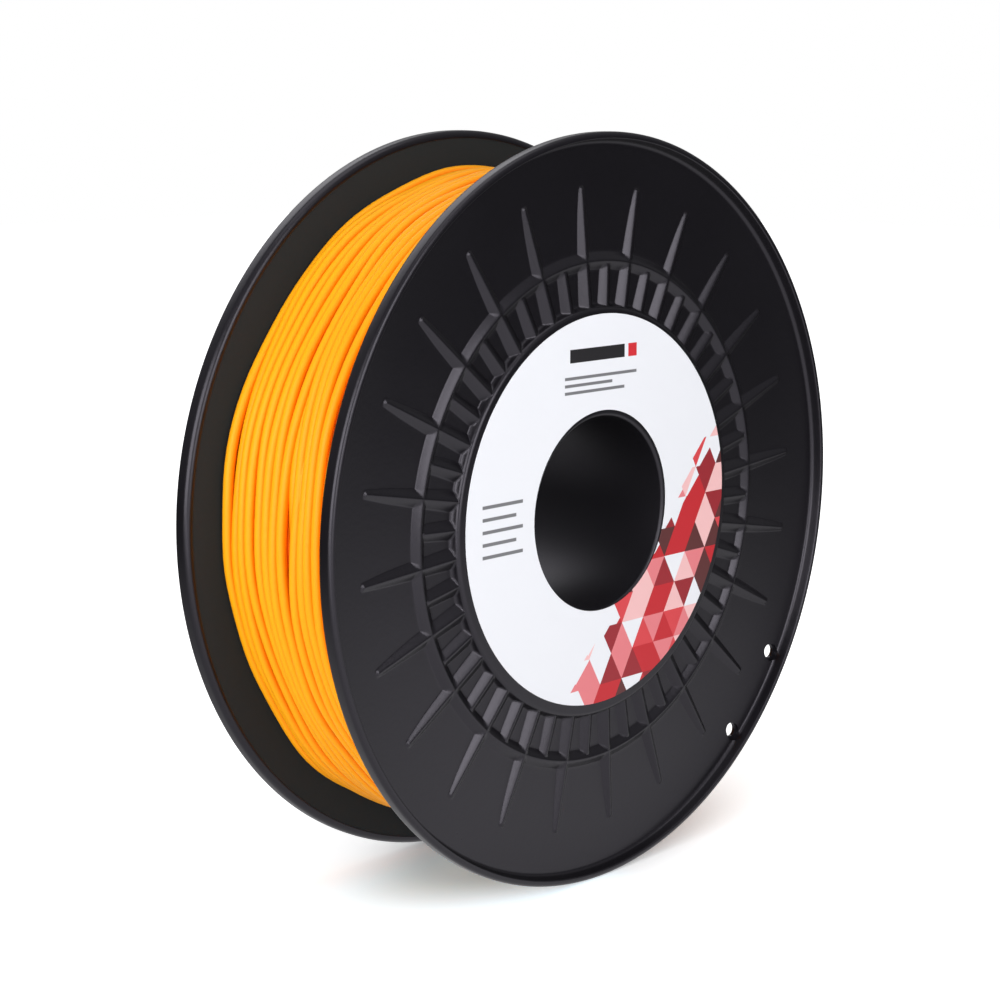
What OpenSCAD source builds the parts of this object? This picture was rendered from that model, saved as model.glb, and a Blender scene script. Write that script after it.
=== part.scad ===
// Filament spool: a moulded reel of two ribbed flanges on a hollow core,
// with a ring label on one side and a full winding of round filament.
// The reel's axis lies along Y, the labelled flange faces -Y and the rims stand at the lowest Z.
// Depths are measured inwards from a flange's outermost plane.

/* [Reel] */
// Diameter over the flange rims
spool_d = 200; // [190:1:230]
// Width over the two rims
spool_w = 57; // [48:0.5:80]
// Diameter of the through bore that a holder carries
bore_d = 51.8; // [46:0.2:53]
// Outside diameter of the drum that the filament is wound on
drum_d = 104; // [100:1:106]

/* [Flange rim] */
// Width of the raised bead at its foot
bead_w = 3.5; // [3.4:0.1:5]
// Height of the bead above the web beside it
bead_h = 3.3; // [2.6:0.1:3.8]
// Run of the bead's inner wall from its foot to its edge
bead_lean = 1.6; // [0.2:0.1:1.8]
// Radius along the bead's inner edge
bead_edge_r = 0.4; // [0.2:0.1:0.6]
// Radius along the rim's outer edge
rim_front_r = 1.2; // [0.8:0.1:1.8]
// Radius along the rim's edge that faces the filament
rim_back_r = 2; // [0.8:0.1:2.2]

/* [Flange web] */
// Thickness of the web
web_t = 1.3; // [1:0.1:2.5]
// Depth of the web's outer face at the boss
web_hub_depth = 4.8; // [4.4:0.1:6]

/* [Flange boss] */
// How far the boss's foot on the web lies outside the drum
boss_overhang = 3.6; // [3:0.1:6]
// Run of the boss's shoulder, from its flat face to its foot
shoulder_run = 2; // [1.5:0.1:2.5]
// Radius along the boss's edge
shoulder_r = 1.4; // [0.6:0.1:1.5]
// Depth of the boss's flat face
boss_depth = 2.5; // [1.5:0.1:2.8]
// Wall of the boss under the label
boss_t = 1.8; // [1.2:0.1:2.5]

/* [Flange ribs] */
// Number of long ribs, with as many short ones between them
rib_count = 24; // [12:1:30]
// Angle of the first long rib
rib_phase = 4.5; // [0:0.1:15]
// Distance from the long ribs' ends to the bead's foot
long_rib_clear = 10; // [5:0.5:20]
// Depth of the long ribs' tops
long_rib_depth = 3.05; // [2.8:0.05:3.3]
// Depth of the short ribs' tops
short_rib_depth = 3.3; // [3:0.05:3.6]
// Width of a rib's top
rib_top_w = 0.9; // [0.6:0.05:1.5]
// Sideways run of a rib's flank for each unit of height
rib_flare = 1.35; // [0.3:0.05:1.4]
// Distance from the boss's foot to the ring rib's crest
ring_out = 11.2; // [6:0.1:16]
// Depth of the ring rib's crest
ring_depth = 3.35; // [3:0.05:3.8]

/* [Filament holes] */
// Diameter of each through hole beside the bead
end_hole_d = 4.4; // [3.6:0.1:4.6]
// Distance from the bead's foot to the holes' centres
end_hole_inset = 2.1; // [2:0.1:3.5]
// Diameter of the notch that each hole has in the bead's wall
end_notch_d = 6; // [5:0.1:6.4]
// Angle of the first hole
end_hole_angle = 310; // [290:1:320]
// Angle between the two holes
end_hole_step = 16.5; // [10:0.5:25]

/* [Core] */
// Wall of the hub sleeve around the bore
sleeve_t = 2; // [1.5:0.1:2.8]
// Radius on the bore's two mouths
bore_lip_r = 0.9; // [0.3:0.1:1.2]
// Wall of the drum
drum_t = 2; // [1.5:0.1:3]
// Number of radial webs between sleeve and drum
core_webs = 12; // [6:1:16]
// Thickness of those webs
core_web_t = 1.6; // [1:0.1:2.5]
// Length of each flange's spigot inside the drum
spigot_len = 4; // [2:0.5:6]
// Wall of the spigot
spigot_t = 2; // [1.5:0.1:3]
// Length of the collar around each end of the sleeve
collar_len = 4; // [2:0.5:6]
// Wall of the collar
collar_t = 2.2; // [1.5:0.1:3]

/* [Label] */
// Width of the boss's flat face left bare outside the label
label_margin = 1.25; // [0.8:0.05:5]
// Distance from the bore's wall to the label's hole
label_inset = 1; // [0.9:0.1:4]
// Thickness of the label
label_t = 0.15; // [0.1:0.05:0.3]
// Sideways offset of the label from the reel's axis
label_dx = 0.3; // [-0.4:0.1:0.4]
// Upward offset of the label from the reel's axis
label_dz = 0.7; // [-0.8:0.1:0.8]

/* [Filament] */
// Diameter of the filament
filament_d = 2.85; // [1.75:0.05:3]
// How far the full winding lies below the rims
winding_drop = 10.5; // [9:0.5:24]
// Smallest gap left between neighbouring turns
turn_gap = 0.45; // [0.42:0.01:0.8]
// Angle over which each turn steps across to the next place
step_sweep = 50; // [30:1:90]
// Bend radius where the outer layer rises out of the layers below
root_bend_r = 4; // [3:0.5:6]
// Bend radius where the free end turns into its hole
tail_bend_r = 6; // [4:0.5:7]
// Angle over which the free end lifts off the winding
tail_sweep = 48; // [36:1:90]
// Depth of the free end's tip below the rear rim's outermost plane
tail_tip_depth = 0.8; // [0.5:0.1:1.5]
// Angle between the free end's start and the place where the turns step across
step_lead = 12; // [8:1:40]

/* [Clearances] */
// Radial gap between a flange and the core part inside or outside it
fit_gap = 0.1; // [0.05:0.05:0.2]
// Gap between the wound filament and what it lies against
wound_gap = 0.3; // [0.2:0.05:0.5]

/* [Hidden] */
$fn = 48;
eps = 0.01;

spool_r = spool_d / 2;
half_w = spool_w / 2;
bore_r = bore_d / 2;
drum_r = drum_d / 2;
drum_inner_r = drum_r - drum_t;
sleeve_r = bore_r + sleeve_t;
sleeve_seat_r = sleeve_r + fit_gap;

// Flange section, as radius and height, with the outermost plane at height 0
bead_foot_r = spool_r - bead_w;
boss_foot_r = drum_r + boss_overhang;
boss_edge_r = boss_foot_r - shoulder_run;
bead_top_r = bead_foot_r + bead_lean + bead_edge_r;
rim_edge_r = min(rim_front_r, spool_r - bead_top_r - eps);
web_slope = (web_hub_depth - bead_h) / (bead_foot_r - boss_foot_r);
function web_top(r) = -bead_h - web_slope * (bead_foot_r - r);
function web_under(r) = web_top(r) - web_t;
rim_back_z = web_under(spool_r - rim_back_r);
boss_under_z = -boss_depth - boss_t;
seat_z = web_under(drum_r);
spigot_r = drum_inner_r - fit_gap;
function arc(centre, r, from, to, steps = 6) =
    [for (i = [0:steps]) let (a = from + (to - from) * i / steps) centre + r * [cos(a), sin(a)]];
// Drop from a crest's edge at radius r and height z down to the web, on a flank that leans out (1) or in (-1)
function flank_drop(r, z, side) = (z - web_top(r)) / (1 + side * rib_flare * web_slope);
function flank_foot(r, z, side) =
    let (drop = flank_drop(r, z, side)) [r + side * rib_flare * drop, z - drop];

// Ribs
ring_r = boss_foot_r + ring_out;
long_rib_end_r = bead_foot_r - long_rib_clear;
ring_in_r = ring_r - rib_top_w / 2;
ring_out_r = ring_r + rib_top_w / 2;
rib_root_r = boss_edge_r - eps;
rib_step = 360 / rib_count;

// Filament
filament_r = filament_d / 2;
turn_steps = 24;
tube_sides = 6;
turn_r = spool_r - winding_drop - filament_r;
layers_r = turn_r * cos(180 / turn_steps) - filament_r - wound_gap;
function room(r) = half_w + web_under(r);
first_y = -(room(layers_r) - wound_gap - filament_r);
last_y = -first_y;
full_turns = floor((last_y - first_y) / (filament_d + turn_gap));
turn_pitch = (last_y - first_y) / full_turns;
end_hole_r = bead_foot_r - end_hole_inset;
tail_hole_angle = -end_hole_angle;
tail_exit_y = room(end_hole_r) - wound_gap;
tail_tip_y = half_w - tail_tip_depth;
tail_bend_angle = tail_bend_r / end_hole_r * 180 / PI;
tail_start_angle = tail_hole_angle - tail_bend_angle - tail_sweep;
root_angle = tail_start_angle + step_lead + step_sweep;
turn_count = full_turns + 1 - (step_lead + step_sweep) / 360;

module flange_section() {
    ring_z = -ring_depth;
    polygon(concat(
        [[sleeve_seat_r, -boss_depth]],
        arc([boss_edge_r, -boss_depth - shoulder_r], shoulder_r, 90, 0),
        [[boss_foot_r, web_top(boss_foot_r)]],
        [flank_foot(ring_in_r, ring_z, -1), [ring_in_r, ring_z]],
        [[ring_out_r, ring_z], flank_foot(ring_out_r, ring_z, 1)],
        [[bead_foot_r, -bead_h]],
        arc([bead_top_r, -bead_edge_r], bead_edge_r, 180, 90, 4),
        arc([spool_r - rim_edge_r, -rim_edge_r], rim_edge_r, 90, 0),
        arc([spool_r - rim_back_r, rim_back_z + rim_back_r], rim_back_r, 0, -90),
        [[drum_r, seat_z], [spigot_r, seat_z], [spigot_r, seat_z - spigot_len]],
        [[spigot_r - spigot_t, seat_z - spigot_len], [spigot_r - spigot_t, boss_under_z]],
        [[sleeve_seat_r + collar_t, boss_under_z], [sleeve_seat_r + collar_t, boss_under_z - collar_len]],
        [[sleeve_seat_r, boss_under_z - collar_len]]
    ));
}

// One drafted rib along X, with a round end; its foot is deep enough to pass through the web's top
module rib(end_r, depth) {
    height = web_hub_depth + web_t - depth;
    foot_w = rib_top_w + 2 * rib_flare * height;
    end_drop = -depth - web_top(end_r);
    run = end_r - rib_top_w / 2 - rib_flare * end_drop;
    translate([0, 0, -depth - height]) {
        translate([rib_root_r, 0, 0]) rotate([90, 0, 90]) linear_extrude(run - rib_root_r)
            polygon([[-foot_w / 2, 0], [foot_w / 2, 0], [rib_top_w / 2, height], [-rib_top_w / 2, height]]);
        translate([run, 0, 0]) cylinder(h = height, r1 = foot_w / 2, r2 = rib_top_w / 2, $fn = 32);
    }
}

// The room that ribs may fill: from inside the web up past their tops
module rib_zone() {
    rotate_extrude() polygon([
        [rib_root_r, 0],
        [rib_root_r, web_top(rib_root_r) - web_t / 2],
        [bead_foot_r, web_top(bead_foot_r) - web_t / 2],
        [bead_foot_r, 0]
    ]);
}

module ribs() {
    intersection() {
        union() {
            for (i = [0:rib_count - 1]) {
                rotate(rib_phase + i * rib_step) rib(long_rib_end_r, long_rib_depth);
                rotate(rib_phase + (i + 0.5) * rib_step) rib(ring_r, short_rib_depth);
            }
        }
        rib_zone();
    }
}

module end_holes() {
    for (i = [0:1]) {
        rotate(end_hole_angle + i * end_hole_step) translate([end_hole_r, 0, 0]) {
            translate([0, 0, 2 * rim_back_z]) cylinder(h = 2 * spool_w, d = end_hole_d);
            translate([0, 0, web_top(end_hole_r)]) cylinder(h = spool_w, d = end_notch_d);
        }
    }
}

// Flange with its outer face towards +Z and its outermost plane at Z = 0
module flange() {
    difference() {
        union() {
            rotate_extrude() flange_section();
            ribs();
        }
        end_holes();
    }
}

module front_flange() {
    color("#1b1a1c") translate([0, -half_w, 0]) rotate([90, 0, 0]) flange();
}

module rear_flange() {
    color("#1b1a1c") rotate([180, 0, 0]) translate([0, -half_w, 0]) rotate([90, 0, 0]) flange();
}

module core() {
    sleeve_half = half_w - boss_depth;
    drum_half = half_w + seat_z;
    web_half = min(drum_half - spigot_len, half_w + boss_under_z - collar_len) - wound_gap;
    color("#232224") rotate([90, 0, 0]) {
        rotate_extrude() polygon(concat(
            arc([bore_r + bore_lip_r, sleeve_half - bore_lip_r], bore_lip_r, 180, 90),
            [[sleeve_r, sleeve_half], [sleeve_r, -sleeve_half]],
            arc([bore_r + bore_lip_r, bore_lip_r - sleeve_half], bore_lip_r, 270, 180)
        ));
        rotate_extrude() translate([drum_inner_r, -drum_half]) square([drum_t, 2 * drum_half]);
        for (i = [0:core_webs - 1]) {
            rotate(i * 360 / core_webs) translate([sleeve_r - sleeve_t / 2, -core_web_t / 2, -web_half])
                cube([drum_inner_r + drum_t / 2 - sleeve_r + sleeve_t / 2, core_web_t, 2 * web_half]);
        }
    }
}

module front_label() {
    color("#eef0f6") translate([label_dx, -half_w + boss_depth, label_dz]) rotate([90, 0, 0]) {
        difference() {
            cylinder(h = label_t, r = boss_edge_r - label_margin);
            translate([0, 0, -label_t]) cylinder(h = 3 * label_t, r = bore_r + label_inset);
        }
    }
}

// The layers below the outer one, as one plain ring with a slot where the outer layer rises from it
module filament_layers() {
    slot_depth = root_bend_r + filament_d + filament_r;
    color("#ff7a00") difference() {
        rotate([90, 0, 0]) rotate_extrude() polygon([
            [drum_r + fit_gap, room(drum_r) - wound_gap],
            [layers_r, room(layers_r) - wound_gap],
            [layers_r, wound_gap - room(layers_r)],
            [drum_r + fit_gap, wound_gap - room(drum_r)]
        ]);
        rotate([0, -root_angle, 0])
            translate([turn_r - slot_depth, first_y - filament_r - wound_gap, -filament_r - wound_gap])
                cube([slot_depth, filament_d + 2 * wound_gap, root_bend_r + filament_d + wound_gap]);
    }
}

// Points of the outer layer, from its root in the layers below to its free end in the rear flange's hole
function on_reel(r, angle, y) = [r * cos(angle), y, r * sin(angle)];
function ease(t) = let (s = max(0, min(1, t))) s * s * (3 - 2 * s);
function beside(r, angle, y, out, along, across) =
    on_reel(r, angle, y) + out * [cos(angle), 0, sin(angle)]
    + along * [-sin(angle), 0, cos(angle)] + [0, across, 0];
root_points = [
    for (s = [-filament_d, 0]) beside(turn_r - root_bend_r, root_angle, first_y, s, 0, 0),
    for (a = [22.5:22.5:67.5])
        beside(turn_r - root_bend_r, root_angle, first_y, root_bend_r * sin(a), root_bend_r * (1 - cos(a)), 0)
];
rings = ceil(turn_count * turn_steps);
root_lead = root_bend_r / turn_r / (2 * PI);
step_share = step_sweep / 360;
function places_across(turn) = floor(turn) + ease((turn - floor(turn) - 1 + step_share) / step_share);
turn_points = [
    for (i = [0:rings]) let (turn = root_lead + (turn_count - root_lead) * i / rings)
        on_reel(turn_r, root_angle + 360 * turn, min(last_y, first_y + turn_pitch * places_across(turn)))
];
// The free end lifts first and crosses over its neighbour later, each by its own share of the sweep
tail_lift_share = 0.7;
tail_cross_share = 0.65;
tail_steps = 8;
tail_low_y = tail_exit_y - tail_bend_r;
tail_points = [
    for (i = [1:tail_steps]) let (t = i / tail_steps)
        on_reel(turn_r + (end_hole_r - turn_r) * ease(t / tail_lift_share), tail_start_angle + tail_sweep * t,
            last_y + (tail_low_y - last_y) * ease((t - 1 + tail_cross_share) / tail_cross_share)),
    for (a = [18:18:90]) beside(end_hole_r, tail_hole_angle, tail_low_y, 0,
        tail_bend_r * (sin(a) - 1), tail_bend_r * (1 - cos(a))),
    on_reel(end_hole_r, tail_hole_angle, tail_tip_y)
];
tube_points = concat(root_points, turn_points, tail_points);

function unit(v) = v / norm(v);
function heading(p, i) = unit(p[min(i + 1, len(p) - 1)] - p[max(i - 1, 0)]);
function squared(n, t) = unit(n - (n * t) * t);
tube_normals = [
    for (i = 0, n = [0, 1, 0]; i < len(tube_points);
        i = i + 1, n = i < len(tube_points) ? squared(n, heading(tube_points, i)) : n) n
];

// Least gap of the outer layer to itself, on its points and the points halfway between them
gap_points = [
    for (i = [0:len(tube_points) - 2]) each [tube_points[i], (tube_points[i] + tube_points[i + 1]) / 2]
];
least_gap = min([
    for (i = [0:len(gap_points) - turn_steps - 1])
        min([for (j = [i + turn_steps:len(gap_points) - 1]) norm(gap_points[i] - gap_points[j])])
]) - filament_d;
echo(turns = turn_count, least_gap_mm = least_gap);

module tube(points, normals, r, sides) {
    n = len(points);
    verts = [
        for (i = [0:n - 1]) let (t = heading(points, i), u = normals[i], v = cross(t, u))
            for (k = [0:sides - 1]) points[i] + r * (cos(360 * k / sides) * u + sin(360 * k / sides) * v)
    ];
    walls = [
        for (i = [0:n - 2], k = [0:sides - 1])
            let (a = i * sides + k, b = i * sides + (k + 1) % sides)
                each [[a, a + sides, b], [b, a + sides, b + sides]]
    ];
    end = (n - 1) * sides;
    caps = [for (k = [1:sides - 2]) each [[0, k, k + 1], [end, end + k + 1, end + k]]];
    polyhedron(verts, concat(walls, caps));
}

module filament_top_layer() {
    color("#ff8c0a") tube(tube_points, tube_normals, filament_r, tube_sides);
}

front_flange();
rear_flange();
core();
front_label();
filament_layers();
filament_top_layer();
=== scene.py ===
"""Filament spool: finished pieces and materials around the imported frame.

The reel's axis is Y, its labelled flange faces -Y, and sizes below are in millimetres
until MM turns them into metres.
"""

import math

import bmesh
import bpy
from mathutils import Matrix, Vector


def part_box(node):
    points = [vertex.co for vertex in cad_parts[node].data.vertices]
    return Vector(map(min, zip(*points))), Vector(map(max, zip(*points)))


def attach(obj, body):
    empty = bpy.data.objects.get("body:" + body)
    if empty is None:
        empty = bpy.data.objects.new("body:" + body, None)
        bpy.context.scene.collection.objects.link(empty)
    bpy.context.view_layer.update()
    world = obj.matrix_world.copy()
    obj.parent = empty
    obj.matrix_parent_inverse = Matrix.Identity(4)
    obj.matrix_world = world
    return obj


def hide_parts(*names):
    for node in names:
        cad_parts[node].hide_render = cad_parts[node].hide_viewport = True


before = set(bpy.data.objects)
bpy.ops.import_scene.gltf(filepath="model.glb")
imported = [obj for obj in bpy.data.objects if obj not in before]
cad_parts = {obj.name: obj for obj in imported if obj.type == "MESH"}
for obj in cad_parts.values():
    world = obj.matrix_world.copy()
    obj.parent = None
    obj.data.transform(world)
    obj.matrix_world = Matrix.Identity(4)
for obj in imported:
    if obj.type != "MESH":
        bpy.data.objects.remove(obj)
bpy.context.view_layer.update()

MM = 0.001
TAU = 2 * math.pi
DEGREE = math.radians(1)

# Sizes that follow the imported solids
rim_low, rim_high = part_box("front_flange")
SPOOL_R = (rim_high.x - rim_low.x) / 2 / MM
HALF_W = -rim_low.y / MM
label_low, label_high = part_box("front_label")
LABEL_CENTRE = Vector((label_low.x + label_high.x, 0, label_low.z + label_high.z)) / 2
LABEL_R = (label_high.x - label_low.x) / 2 / MM
core_low, core_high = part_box("core")
DRUM_R = (core_high.x - core_low.x) / 2 / MM

# Flange section: heights count from the outermost plane, and radii from the axis
BEAD_W, BEAD_H = 3.5, 3.3
BEAD_LEAN, BEAD_EDGE_R, BEAD_FILLET_R, BEAD_FILLET_SHIFT = 1.6, 0.4, 1.25, 0.1
RIM_FRONT_R, RIM_BACK_R, RIM_LIP = 1.2, 1.7, 0.22
LIP_SETBACK, LIP_EDGE_R = 0.25, 0.1
WEB_T, WEB_HUB_DEPTH = 1.3, 4.8
WEB_CURVE = 4
BOSS_OVERHANG, SHOULDER_RUN, SHOULDER_R = 3.6, 2.0, 1.4
BOSS_DEPTH, BOSS_T = 2.5, 1.8
FIT_GAP = 0.1
SPIGOT_LEN, SPIGOT_T = 4.0, 2.0
COLLAR_LEN, COLLAR_T = 4.0, 2.2

# Core and label
SLEEVE_IN_R, SLEEVE_OUT_R, BORE_LIP_R = 25.9, 27.9, 0.9
DRUM_T = 2.0
CORE_WEBS, CORE_WEB_T, CORE_WEB_SINK, CORE_WEB_GAP = 12, 1.6, 1.0, 0.3
LABEL_T, LABEL_HOLE_R, LABEL_EDGE = 0.15, SLEEVE_IN_R + 1.0, 0.05

# Ribs
RIB_COUNT, RIB_PHASE = 24, 4.5
BAY_COUNT = 2 * RIB_COUNT
LONG_RIB_CLEAR, RING_OUT = 10.0, 11.2
LONG_RIB_DEPTH, SHORT_RIB_DEPTH, RING_DEPTH = 3.05, 3.2, 3.35
RIB_TOP_W, RIB_FLARE, RIB_FALL = 0.9, 1.35, 0.0235
RING_TOP_W = 0.8
FOOT_BLEND, FOOT_LEAST_H, FOOT_BAY_SHARE = 0.12, 0.7, 0.86
TIP_STEEPNESS = 1.5

# Holes for the filament's end
END_HOLE_D, END_HOLE_INSET = 4.0, 2.1
END_NOTCH_D, END_NOTCH_SHIFT, END_NOTCH_SINK = 5.0, 1.05, 0.3
END_HOLE_ANGLES = (310.0, 326.5)

# Filament
FILAMENT_D, WINDING_DROP, SIDE_GAP, LEAST_GAP = 2.85, 10.5, 0.15, 0.03
FILAMENT_R = FILAMENT_D / 2
TURN_R = SPOOL_R - WINDING_DROP - FILAMENT_R
LAYER_STEP = 2.5
STEP_SWEEP, STEP_LEAD, TAIL_SWEEP = 50.0, 12.0, 48.0
TAIL_BEND_R, TAIL_TIP_DEPTH = 6.0, 0.8
BED_DROP, BED_GAP = 0.9, 0.3

# How finely the meshes are drawn
TURNED_COLUMNS, LABEL_COLUMNS, PEG_SIDES = 192, 256, 48
SEAM_MERGE, SHARP_ANGLE = 0.0005, math.radians(38)
POINTS_IN_TURN, TAIL_STEPS, BEND_STEPS = 144, 24, 8

BEAD_FOOT_R = SPOOL_R - BEAD_W
BOSS_FOOT_R = DRUM_R + BOSS_OVERHANG
BOSS_EDGE_R = BOSS_FOOT_R - SHOULDER_RUN
RING_R = BOSS_FOOT_R + RING_OUT
LONG_RIB_END_R = BEAD_FOOT_R - LONG_RIB_CLEAR
END_HOLE_R = BEAD_FOOT_R - END_HOLE_INSET
END_NOTCH_R = END_HOLE_R + END_NOTCH_SHIFT
WEB_RUN, WEB_RISE = BEAD_FOOT_R - BOSS_FOOT_R, WEB_HUB_DEPTH - BEAD_H


def web_top(r, higher=max):
    """Height of the web's outer face, which curves up to the bead; r is a number or a Value."""
    share = higher((r - BOSS_FOOT_R) / WEB_RUN, 0.0)
    return share ** WEB_CURVE * WEB_RISE - WEB_HUB_DEPTH


def web_under(r):
    """Height of the web's face towards the filament."""
    return -BEAD_H - WEB_RISE / WEB_RUN * (BEAD_FOOT_R - r) - WEB_T


def room(r):
    """Half the width between the flanges' inner faces."""
    return HALF_W + web_under(r)


# ---------------------------------------------------------------- node trees as arithmetic


class Value:
    """A socket that takes part in arithmetic: each operator adds the Math node it needs."""

    def __init__(self, graph, socket):
        self.graph = graph
        self.socket = socket

    def __add__(self, other):
        return self.graph.math("ADD", self, other)

    __radd__ = __add__

    def __sub__(self, other):
        return self.graph.math("SUBTRACT", self, other)

    def __rsub__(self, other):
        return self.graph.math("SUBTRACT", other, self)

    def __mul__(self, other):
        return self.graph.math("MULTIPLY", self, other)

    __rmul__ = __mul__

    def __truediv__(self, other):
        return self.graph.math("DIVIDE", self, other)

    def __rtruediv__(self, other):
        return self.graph.math("DIVIDE", other, self)

    def __pow__(self, other):
        return self.graph.math("POWER", self, other)

    def __rpow__(self, other):
        return self.graph.math("POWER", other, self)

    def __neg__(self):
        return self.graph.math("MULTIPLY", self, -1.0)


class Made:
    """A node that was made, with its outputs as values."""

    def __init__(self, graph, node):
        self.graph = graph
        self.node = node

    def __getitem__(self, key):
        outputs = self.node.outputs
        if isinstance(key, str):
            shown = [s for s in outputs if s.enabled and s.name == key]
            return Value(self.graph, shown[0])
        return Value(self.graph, outputs[key])


class Graph:
    """Adds nodes to a tree, for materials and geometry alike."""

    def __init__(self, tree):
        self.tree = tree

    def make(self, kind, settings=None, **inputs):
        """A node of a kind: its settings first, then its sockets' values or links."""
        node = self.tree.nodes.new(kind)
        for name, value in (settings or {}).items():
            if name == "stops":
                self.set_stops(node.color_ramp, value)
            else:
                setattr(node, name, value)
        for name, value in inputs.items():
            self.feed(self.socket(node, name), value)
        return Made(self, node)

    @staticmethod
    def set_stops(ramp, stops):
        """Bands of one colour each, by the place where each band starts."""
        ramp.interpolation = "CONSTANT"
        while len(ramp.elements) < len(stops):
            ramp.elements.new(1.0)
        for element, (place, color) in zip(ramp.elements, stops):
            element.position = place
            element.color = (*color, 1.0)

    @staticmethod
    def socket(node, name):
        """A node's input by its place, as in_2, or by its title with _ for each space."""
        if name.startswith("in_"):
            return node.inputs[int(name[3:])]
        title = name.replace("_", " ")
        for socket in node.inputs:
            if socket.enabled and socket.name == title:
                return socket
        raise KeyError(f"{node.bl_idname} has no input {title!r}")

    def feed(self, socket, value):
        if isinstance(value, Value):
            self.tree.links.new(value.socket, socket)
        elif socket.type == "RGBA":
            socket.default_value = (*value, 1.0)
        else:
            socket.default_value = value

    def math(self, operation, *values):
        sockets = {f"in_{i}": value for i, value in enumerate(values)}
        return self.make("ShaderNodeMath", {"operation": operation}, **sockets)[0]

    def dot(self, a, b):
        return self.make("ShaderNodeVectorMath", {"operation": "DOT_PRODUCT"}, in_0=a, in_1=b)["Value"]

    def low(self, a, b):
        return self.math("MINIMUM", a, b)

    def high(self, a, b, soft=0.0):
        """The higher of two values, blended over a soft band."""
        return self.math("SMOOTH_MAX", a, b, soft) if soft else self.math("MAXIMUM", a, b)

    def root(self, a):
        return self.math("SQRT", self.high(a, 0.0))

    def step(self, value, low, high):
        """0 at low, 1 at high, and smooth between."""
        settings = {"interpolation_type": "SMOOTHSTEP"}
        return self.make("ShaderNodeMapRange", settings, in_0=value, in_1=low, in_2=high)[0]

    def inside(self, value, low, high, soft):
        """1 where a value lies between low and high."""
        return self.step(value, low - soft, low + soft) * (1 - self.step(value, high - soft, high + soft))

    def mix(self, factor, a, b):
        """Colour a where the factor is 0 and b where it is 1."""
        settings = {"data_type": "RGBA"}
        return self.make("ShaderNodeMix", settings, in_0=factor, in_6=a, in_7=b)[2]

    def split(self, vector):
        made = self.make("ShaderNodeSeparateXYZ", in_0=vector)
        return made[0], made[1], made[2]

    def join(self, x, y, z):
        return self.make("ShaderNodeCombineXYZ", in_0=x, in_1=y, in_2=z)[0]


# ---------------------------------------------------------------- objects and geometry trees


def add_object(name, mesh):
    made = bpy.data.objects.new(name, mesh)
    bpy.context.scene.collection.objects.link(made)
    return made


def add_points(name, points, joined=False):
    """A hidden table of points, or a line through them, for a geometry tree to read."""
    mesh = bpy.data.meshes.new(name)
    edges = [(i, i + 1) for i in range(len(points) - 1)] if joined else []
    mesh.from_pydata([Vector(p) for p in points], edges, [])
    made = add_object(name, mesh)
    made.hide_render = True
    return made


def join_pieces(name, pieces):
    """One object from several, in order."""
    joined = bmesh.new()
    for piece in pieces:
        joined.from_mesh(piece.data)
        bpy.data.objects.remove(piece)
    mesh = bpy.data.meshes.new(name)
    joined.to_mesh(mesh)
    joined.free()
    return add_object(name, mesh)


def finish_piece(piece, node, material):
    """Puts a piece in a CAD node's place, with its material."""
    piece.data.materials.clear()
    piece.data.materials.append(material)
    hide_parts(node)
    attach(piece, "root")


def new_geometry_tree(name, inputs):
    """A geometry tree with named inputs, its graph, and those inputs as values."""
    tree = bpy.data.node_groups.new(name, "GeometryNodeTree")
    tree.interface.new_socket("Geometry", in_out="OUTPUT", socket_type="NodeSocketGeometry")
    for title, (kind, default) in inputs.items():
        socket = tree.interface.new_socket(title, in_out="INPUT", socket_type=kind)
        if default is not None:
            socket.default_value = default
    graph = Graph(tree)
    source = tree.nodes.new("NodeGroupInput")
    values = {title: Value(graph, source.outputs[title]) for title in inputs}
    return tree, graph, values


def end_geometry_tree(graph, geometry, material):
    """Realize Instances and Set Material close every tree."""
    real = graph.make("GeometryNodeRealizeInstances", in_0=geometry)[0]
    done = graph.make("GeometryNodeSetMaterial", Geometry=real, Material=material)[0]
    out = graph.tree.nodes.new("NodeGroupOutput")
    graph.tree.links.new(done.socket, out.inputs[0])


def grow(name, tree, **settings):
    """Runs a geometry tree with its inputs set, and returns the result as a plain mesh object."""
    holder = add_object(name + "_holder", bpy.data.meshes.new(name + "_holder"))
    modifier = holder.modifiers.new(name, "NODES")
    modifier.node_group = tree
    for item in tree.interface.items_tree:
        if item.in_out == "INPUT" and item.name in settings:
            modifier[item.identifier] = settings[item.name]
    graph = bpy.context.evaluated_depsgraph_get()
    mesh = bpy.data.meshes.new_from_object(holder.evaluated_get(graph), depsgraph=graph)
    mesh.name = name
    holder.modifiers.remove(modifier)
    bpy.data.objects.remove(holder)
    return add_object(name, mesh)


def look_up(g, points, at):
    """Coordinates of a point in a table of points, by its number."""
    table = g.make("GeometryNodeObjectInfo", in_0=points)["Geometry"]
    position = g.make("GeometryNodeInputPosition")[0]
    settings = {"data_type": "FLOAT_VECTOR", "domain": "POINT"}
    found = g.make("GeometryNodeSampleIndex", settings, in_0=table, in_1=position, in_2=at)
    return g.split(found[0])


def polar(g, r, height, angle):
    """A place by its radius, its height along the axis and its turn about it."""
    return g.join(g.math("COSINE", angle) * r, height, g.math("SINE", angle) * r)


def wrap(g, grid, places):
    """A grid with its points moved to their places and its seam closed."""
    moved = g.make("GeometryNodeSetPosition", in_0=grid["Mesh"], Position=places)
    return g.make("GeometryNodeMergeByDistance", in_0=moved[0], Distance=SEAM_MERGE)[0]


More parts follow.
